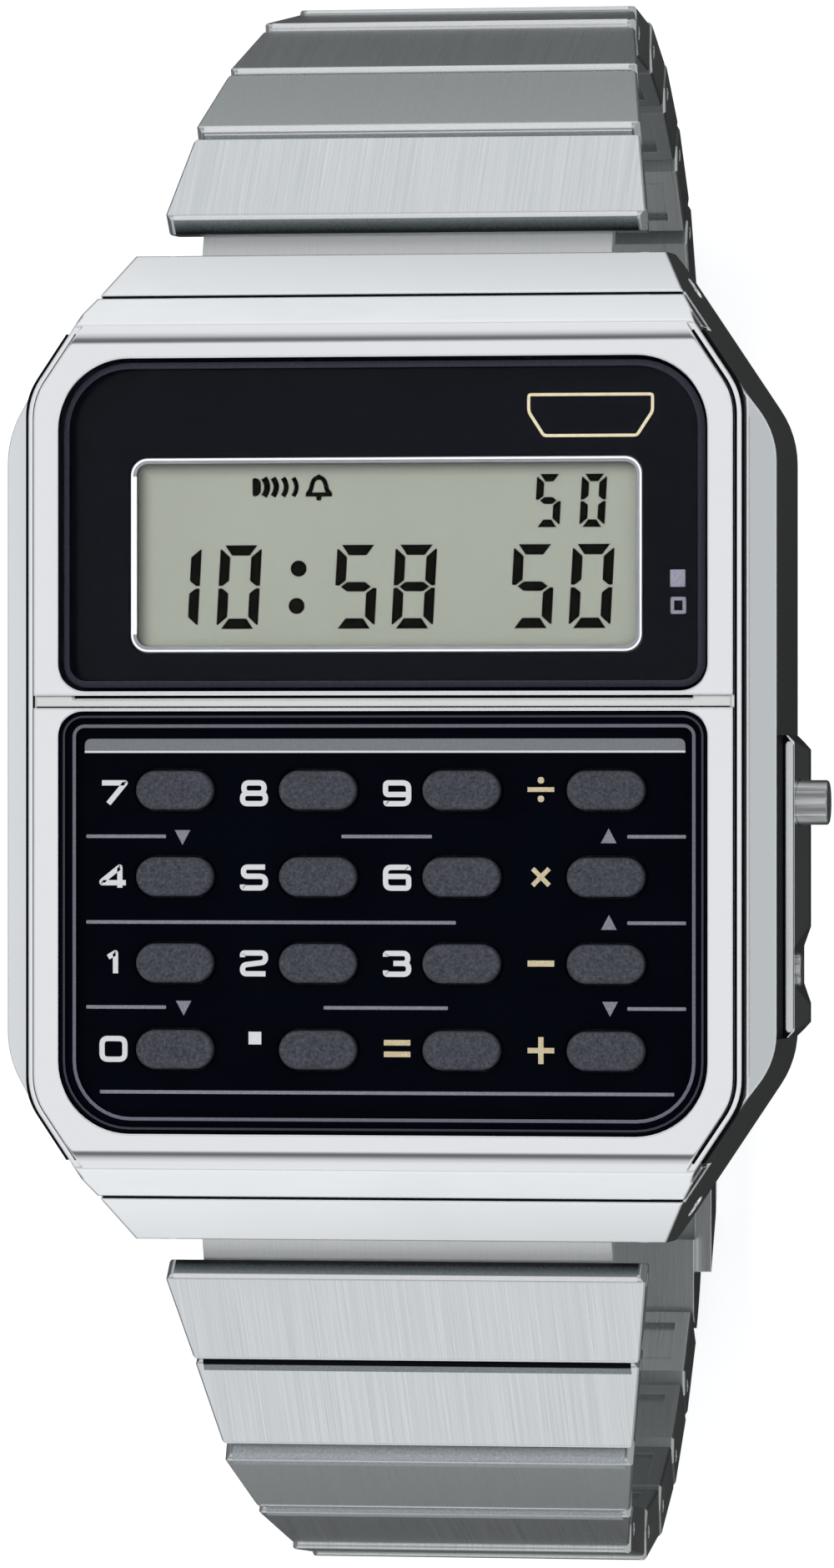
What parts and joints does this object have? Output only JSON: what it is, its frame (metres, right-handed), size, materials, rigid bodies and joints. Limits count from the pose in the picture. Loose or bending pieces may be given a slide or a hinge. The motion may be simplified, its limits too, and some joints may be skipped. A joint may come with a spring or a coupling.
{
  "type": "calculator wristwatch",
  "caption": "Digital calculator wristwatch: slanted-corner polished case with display window, pill-key keypad and side buttons, on a tapering steel link bracelet closed by a folding clasp.",
  "frame": {"origin": "on the flat outer face of the closed clasp, straight below the middle of the case", "axes": "+Z out of the dial, +Y towards 12 o'clock, +X towards 3 o'clock, the side of the buttons; the watch stands dial up on its closed clasp"},
  "size_m": [0.0361, 0.0712, 0.0487],
  "materials": {
    "polished_case": "polished",
    "black_strip": "gloss",
    "window_glass": "polished",
    "dial_mask": "gloss",
    "trim_ring": "satin",
    "lcd_glass": "satin",
    "keypad_panel": "gloss",
    "black_rubber": "matte",
    "connector_rubber": "matte",
    "module_plastic": "matte",
    "board_laminate": "satin",
    "plain_steel": "satin",
    "buzzer_brass": "satin",
    "key_plastic": "fine grain",
    "button_steel": "brushed",
    "brushed_band": "brushed along the band"
  },
  "bodies": {
    "case": {"case_body": "polished_case", "face_frame": "polished_case", "divider_strip": "black_strip", "display_window": "window_glass", "dial_plate": "dial_mask", "lcd_trim": "trim_ring", "lcd_panel": "lcd_glass", "keypad_panel": "keypad_panel", "key_sheet": "black_rubber", "module_frame": "module_plastic", "circuit_board": "board_laminate", "lcd_connectors": "connector_rubber", "battery": "plain_steel", "module_plate": "plain_steel", "buzzer": "buzzer_brass", "back_cover": "plain_steel", "back_gasket": "black_rubber", "back_screws": "plain_steel", "spring_bars": "plain_steel"},
    "key_7": {"key_7": "key_plastic"},
    "key_8": {"key_8": "key_plastic"},
    "key_9": {"key_9": "key_plastic"},
    "key_divide": {"key_divide": "key_plastic"},
    "key_4": {"key_4": "key_plastic"},
    "key_5": {"key_5": "key_plastic"},
    "key_6": {"key_6": "key_plastic"},
    "key_multiply": {"key_multiply": "key_plastic"},
    "key_1": {"key_1": "key_plastic"},
    "key_2": {"key_2": "key_plastic"},
    "key_3": {"key_3": "key_plastic"},
    "key_minus": {"key_minus": "key_plastic"},
    "key_0": {"key_0": "key_plastic"},
    "key_point": {"key_point": "key_plastic"},
    "key_equals": {"key_equals": "key_plastic"},
    "key_plus": {"key_plus": "key_plastic"},
    "mode_button": {"mode_button": "button_steel"},
    "adjust_button": {"adjust_button": "button_steel"},
    "end_link_12": {"end_link_12": "brushed_band"},
    "link_12_1": {"link_12_1": "brushed_band"},
    "link_12_2": {"link_12_2": "brushed_band"},
    "link_12_3": {"link_12_3": "brushed_band"},
    "link_12_4": {"link_12_4": "brushed_band"},
    "link_12_5": {"link_12_5": "brushed_band"},
    "link_12_6": {"link_12_6": "brushed_band"},
    "link_12_7": {"link_12_7": "brushed_band"},
    "link_12_8": {"link_12_8": "brushed_band"},
    "link_12_9": {"link_12_9": "brushed_band"},
    "clasp_inner_leaf": {"clasp_inner_leaf": "brushed_band"},
    "end_link_6": {"end_link_6": "brushed_band"},
    "link_6_1": {"link_6_1": "brushed_band"},
    "link_6_2": {"link_6_2": "brushed_band"},
    "link_6_3": {"link_6_3": "brushed_band"},
    "link_6_4": {"link_6_4": "brushed_band"},
    "link_6_5": {"link_6_5": "brushed_band"},
    "link_6_6": {"link_6_6": "brushed_band"},
    "link_6_7": {"link_6_7": "brushed_band"},
    "link_6_8": {"link_6_8": "brushed_band"},
    "link_6_9": {"link_6_9": "brushed_band"},
    "clasp_middle_leaf": {"clasp_middle_leaf": "brushed_band"},
    "clasp_cover": {"clasp_cover": "brushed_band"}
  },
  "joints": [
    {"name": "key_7_press", "type": "slide", "parent": "case", "child": "key_7", "axis": [0, 0, -1], "range_m": [0, 0.00035], "stiffness_N_per_m": 800, "springref_m": -0.0002},
    {"name": "key_8_press", "type": "slide", "parent": "case", "child": "key_8", "axis": [0, 0, -1], "range_m": [0, 0.00035], "stiffness_N_per_m": 800, "springref_m": -0.0002},
    {"name": "key_9_press", "type": "slide", "parent": "case", "child": "key_9", "axis": [0, 0, -1], "range_m": [0, 0.00035], "stiffness_N_per_m": 800, "springref_m": -0.0002},
    {"name": "key_divide_press", "type": "slide", "parent": "case", "child": "key_divide", "axis": [0, 0, -1], "range_m": [0, 0.00035], "stiffness_N_per_m": 800, "springref_m": -0.0002},
    {"name": "key_4_press", "type": "slide", "parent": "case", "child": "key_4", "axis": [0, 0, -1], "range_m": [0, 0.00035], "stiffness_N_per_m": 800, "springref_m": -0.0002},
    {"name": "key_5_press", "type": "slide", "parent": "case", "child": "key_5", "axis": [0, 0, -1], "range_m": [0, 0.00035], "stiffness_N_per_m": 800, "springref_m": -0.0002},
    {"name": "key_6_press", "type": "slide", "parent": "case", "child": "key_6", "axis": [0, 0, -1], "range_m": [0, 0.00035], "stiffness_N_per_m": 800, "springref_m": -0.0002},
    {"name": "key_multiply_press", "type": "slide", "parent": "case", "child": "key_multiply", "axis": [0, 0, -1], "range_m": [0, 0.00035], "stiffness_N_per_m": 800, "springref_m": -0.0002},
    {"name": "key_1_press", "type": "slide", "parent": "case", "child": "key_1", "axis": [0, 0, -1], "range_m": [0, 0.00035], "stiffness_N_per_m": 800, "springref_m": -0.0002},
    {"name": "key_2_press", "type": "slide", "parent": "case", "child": "key_2", "axis": [0, 0, -1], "range_m": [0, 0.00035], "stiffness_N_per_m": 800, "springref_m": -0.0002},
    {"name": "key_3_press", "type": "slide", "parent": "case", "child": "key_3", "axis": [0, 0, -1], "range_m": [0, 0.00035], "stiffness_N_per_m": 800, "springref_m": -0.0002},
    {"name": "key_minus_press", "type": "slide", "parent": "case", "child": "key_minus", "axis": [0, 0, -1], "range_m": [0, 0.00035], "stiffness_N_per_m": 800, "springref_m": -0.0002},
    {"name": "key_0_press", "type": "slide", "parent": "case", "child": "key_0", "axis": [0, 0, -1], "range_m": [0, 0.00035], "stiffness_N_per_m": 800, "springref_m": -0.0002},
    {"name": "key_point_press", "type": "slide", "parent": "case", "child": "key_point", "axis": [0, 0, -1], "range_m": [0, 0.00035], "stiffness_N_per_m": 800, "springref_m": -0.0002},
    {"name": "key_equals_press", "type": "slide", "parent": "case", "child": "key_equals", "axis": [0, 0, -1], "range_m": [0, 0.00035], "stiffness_N_per_m": 800, "springref_m": -0.0002},
    {"name": "key_plus_press", "type": "slide", "parent": "case", "child": "key_plus", "axis": [0, 0, -1], "range_m": [0, 0.00035], "stiffness_N_per_m": 800, "springref_m": -0.0002},
    {"name": "mode_button_press", "type": "slide", "parent": "case", "child": "mode_button", "axis": [-1, 0, 0], "range_m": [0, 0.0008], "stiffness_N_per_m": 1200, "springref_m": -0.0003},
    {"name": "adjust_button_press", "type": "slide", "parent": "case", "child": "adjust_button", "axis": [-1, 0, 0], "range_m": [0, 0.0005], "stiffness_N_per_m": 1200, "springref_m": -0.0003},
    {"name": "end_link_12_hinge", "type": "hinge", "parent": "case", "child": "end_link_12", "pos_m": [0, 0.02, 0.04225], "axis": [1, 0, 0], "range_deg": [0, 8]},
    {"name": "link_12_1_hinge", "type": "hinge", "parent": "end_link_12", "child": "link_12_1", "pos_m": [0, 0.02334, 0.0409], "axis": [1, 0, 0], "range_deg": [0, 21]},
    {"name": "link_12_2_hinge", "type": "hinge", "parent": "link_12_1", "child": "link_12_2", "pos_m": [0, 0.0271, 0.03739], "axis": [1, 0, 0], "range_deg": [0, 15]},
    {"name": "link_12_3_hinge", "type": "hinge", "parent": "link_12_2", "child": "link_12_3", "pos_m": [0, 0.02983, 0.03302], "axis": [1, 0, 0], "range_deg": [0, 8]},
    {"name": "link_12_4_hinge", "type": "hinge", "parent": "link_12_3", "child": "link_12_4", "pos_m": [0, 0.03193, 0.02832], "axis": [1, 0, 0], "range_deg": [0, 15]},
    {"name": "link_12_5_hinge", "type": "hinge", "parent": "link_12_4", "child": "link_12_5", "pos_m": [0, 0.03273, 0.02323], "axis": [1, 0, 0], "range_deg": [0, 14]},
    {"name": "link_12_6_hinge", "type": "hinge", "parent": "link_12_5", "child": "link_12_6", "pos_m": [0, 0.03228, 0.0181], "axis": [1, 0, 0], "range_deg": [0, 13]},
    {"name": "link_12_7_hinge", "type": "hinge", "parent": "link_12_6", "child": "link_12_7", "pos_m": [0, 0.03069, 0.0132], "axis": [1, 0, 0], "range_deg": [0, 12]},
    {"name": "link_12_8_hinge", "type": "hinge", "parent": "link_12_7", "child": "link_12_8", "pos_m": [0, 0.02812, 0.00874], "axis": [1, 0, 0], "range_deg": [0, 12]},
    {"name": "link_12_9_hinge", "type": "hinge", "parent": "link_12_8", "child": "link_12_9", "pos_m": [0, 0.02467, 0.00491], "axis": [1, 0, 0], "range_deg": [0, 16.84]},
    {"name": "clasp_inner_leaf_hinge", "type": "hinge", "parent": "link_12_9", "child": "clasp_inner_leaf", "pos_m": [0, 0.02027, 0.00225], "axis": [1, 0, 0], "range_deg": [0, 31.16]},
    {"name": "end_link_6_hinge", "type": "hinge", "parent": "case", "child": "end_link_6", "pos_m": [0, -0.02, 0.04225], "axis": [-1, 0, 0], "range_deg": [0, 8]},
    {"name": "link_6_1_hinge", "type": "hinge", "parent": "end_link_6", "child": "link_6_1", "pos_m": [0, -0.02334, 0.0409], "axis": [-1, 0, 0], "range_deg": [0, 18]},
    {"name": "link_6_2_hinge", "type": "hinge", "parent": "link_6_1", "child": "link_6_2", "pos_m": [0, -0.02728, 0.03759], "axis": [-1, 0, 0], "range_deg": [0, 3]},
    {"name": "link_6_3_hinge", "type": "hinge", "parent": "link_6_2", "child": "link_6_3", "pos_m": [0, -0.03129, 0.03435], "axis": [-1, 0, 0], "range_deg": [0, 22]},
    {"name": "link_6_4_hinge", "type": "hinge", "parent": "link_6_3", "child": "link_6_4", "pos_m": [0, -0.03378, 0.02985], "axis": [-1, 0, 0], "range_deg": [0, 9]},
    {"name": "link_6_5_hinge", "type": "hinge", "parent": "link_6_4", "child": "link_6_5", "pos_m": [0, -0.03554, 0.02501], "axis": [-1, 0, 0], "range_deg": [0, 14]},
    {"name": "link_6_6_hinge", "type": "hinge", "parent": "link_6_5", "child": "link_6_6", "pos_m": [0, -0.03608, 0.01988], "axis": [-1, 0, 0], "range_deg": [0, 15]},
    {"name": "link_6_7_hinge", "type": "hinge", "parent": "link_6_6", "child": "link_6_7", "pos_m": [0, -0.03528, 0.0148], "axis": [-1, 0, 0], "range_deg": [0, 14]},
    {"name": "link_6_8_hinge", "type": "hinge", "parent": "link_6_7", "child": "link_6_8", "pos_m": [0, -0.03326, 0.01006], "axis": [-1, 0, 0], "range_deg": [0, 13]},
    {"name": "link_6_9_hinge", "type": "hinge", "parent": "link_6_8", "child": "link_6_9", "pos_m": [0, -0.03024, 0.00589], "axis": [-1, 0, 0], "range_deg": [0, 9.01]},
    {"name": "clasp_middle_leaf_hinge", "type": "hinge", "parent": "clasp_inner_leaf", "child": "clasp_middle_leaf", "pos_m": [0, -0.01359, 0.0016], "axis": [-1, 0, 0], "range_deg": [0, 165]},
    {"name": "clasp_cover_hinge", "type": "hinge", "parent": "clasp_middle_leaf", "child": "clasp_cover", "pos_m": [0, 0.01367, 0.0016], "axis": [-1, 0, 0], "range_deg": [-165, 0]}
  ],
  "couplings": [
    {"joint": "link_12_2_hinge", "follows": "link_12_1_hinge", "ratio": 0.7142},
    {"joint": "link_12_3_hinge", "follows": "link_12_1_hinge", "ratio": 0.3809},
    {"joint": "link_12_5_hinge", "follows": "link_12_4_hinge", "ratio": 0.9333},
    {"joint": "link_12_6_hinge", "follows": "link_12_4_hinge", "ratio": 0.8666},
    {"joint": "link_12_8_hinge", "follows": "link_12_7_hinge", "ratio": 1},
    {"joint": "link_12_9_hinge", "follows": "link_12_7_hinge", "ratio": 1.4033},
    {"joint": "link_6_2_hinge", "follows": "link_6_1_hinge", "ratio": 0.1666},
    {"joint": "link_6_3_hinge", "follows": "link_6_1_hinge", "ratio": 1.2222},
    {"joint": "link_6_5_hinge", "follows": "link_6_4_hinge", "ratio": 1.5555},
    {"joint": "link_6_6_hinge", "follows": "link_6_4_hinge", "ratio": 1.6666},
    {"joint": "link_6_8_hinge", "follows": "link_6_7_hinge", "ratio": 0.9285},
    {"joint": "link_6_9_hinge", "follows": "link_6_7_hinge", "ratio": 0.6435},
    {"joint": "clasp_cover_hinge", "follows": "clasp_middle_leaf_hinge", "ratio": -1}
  ]
}
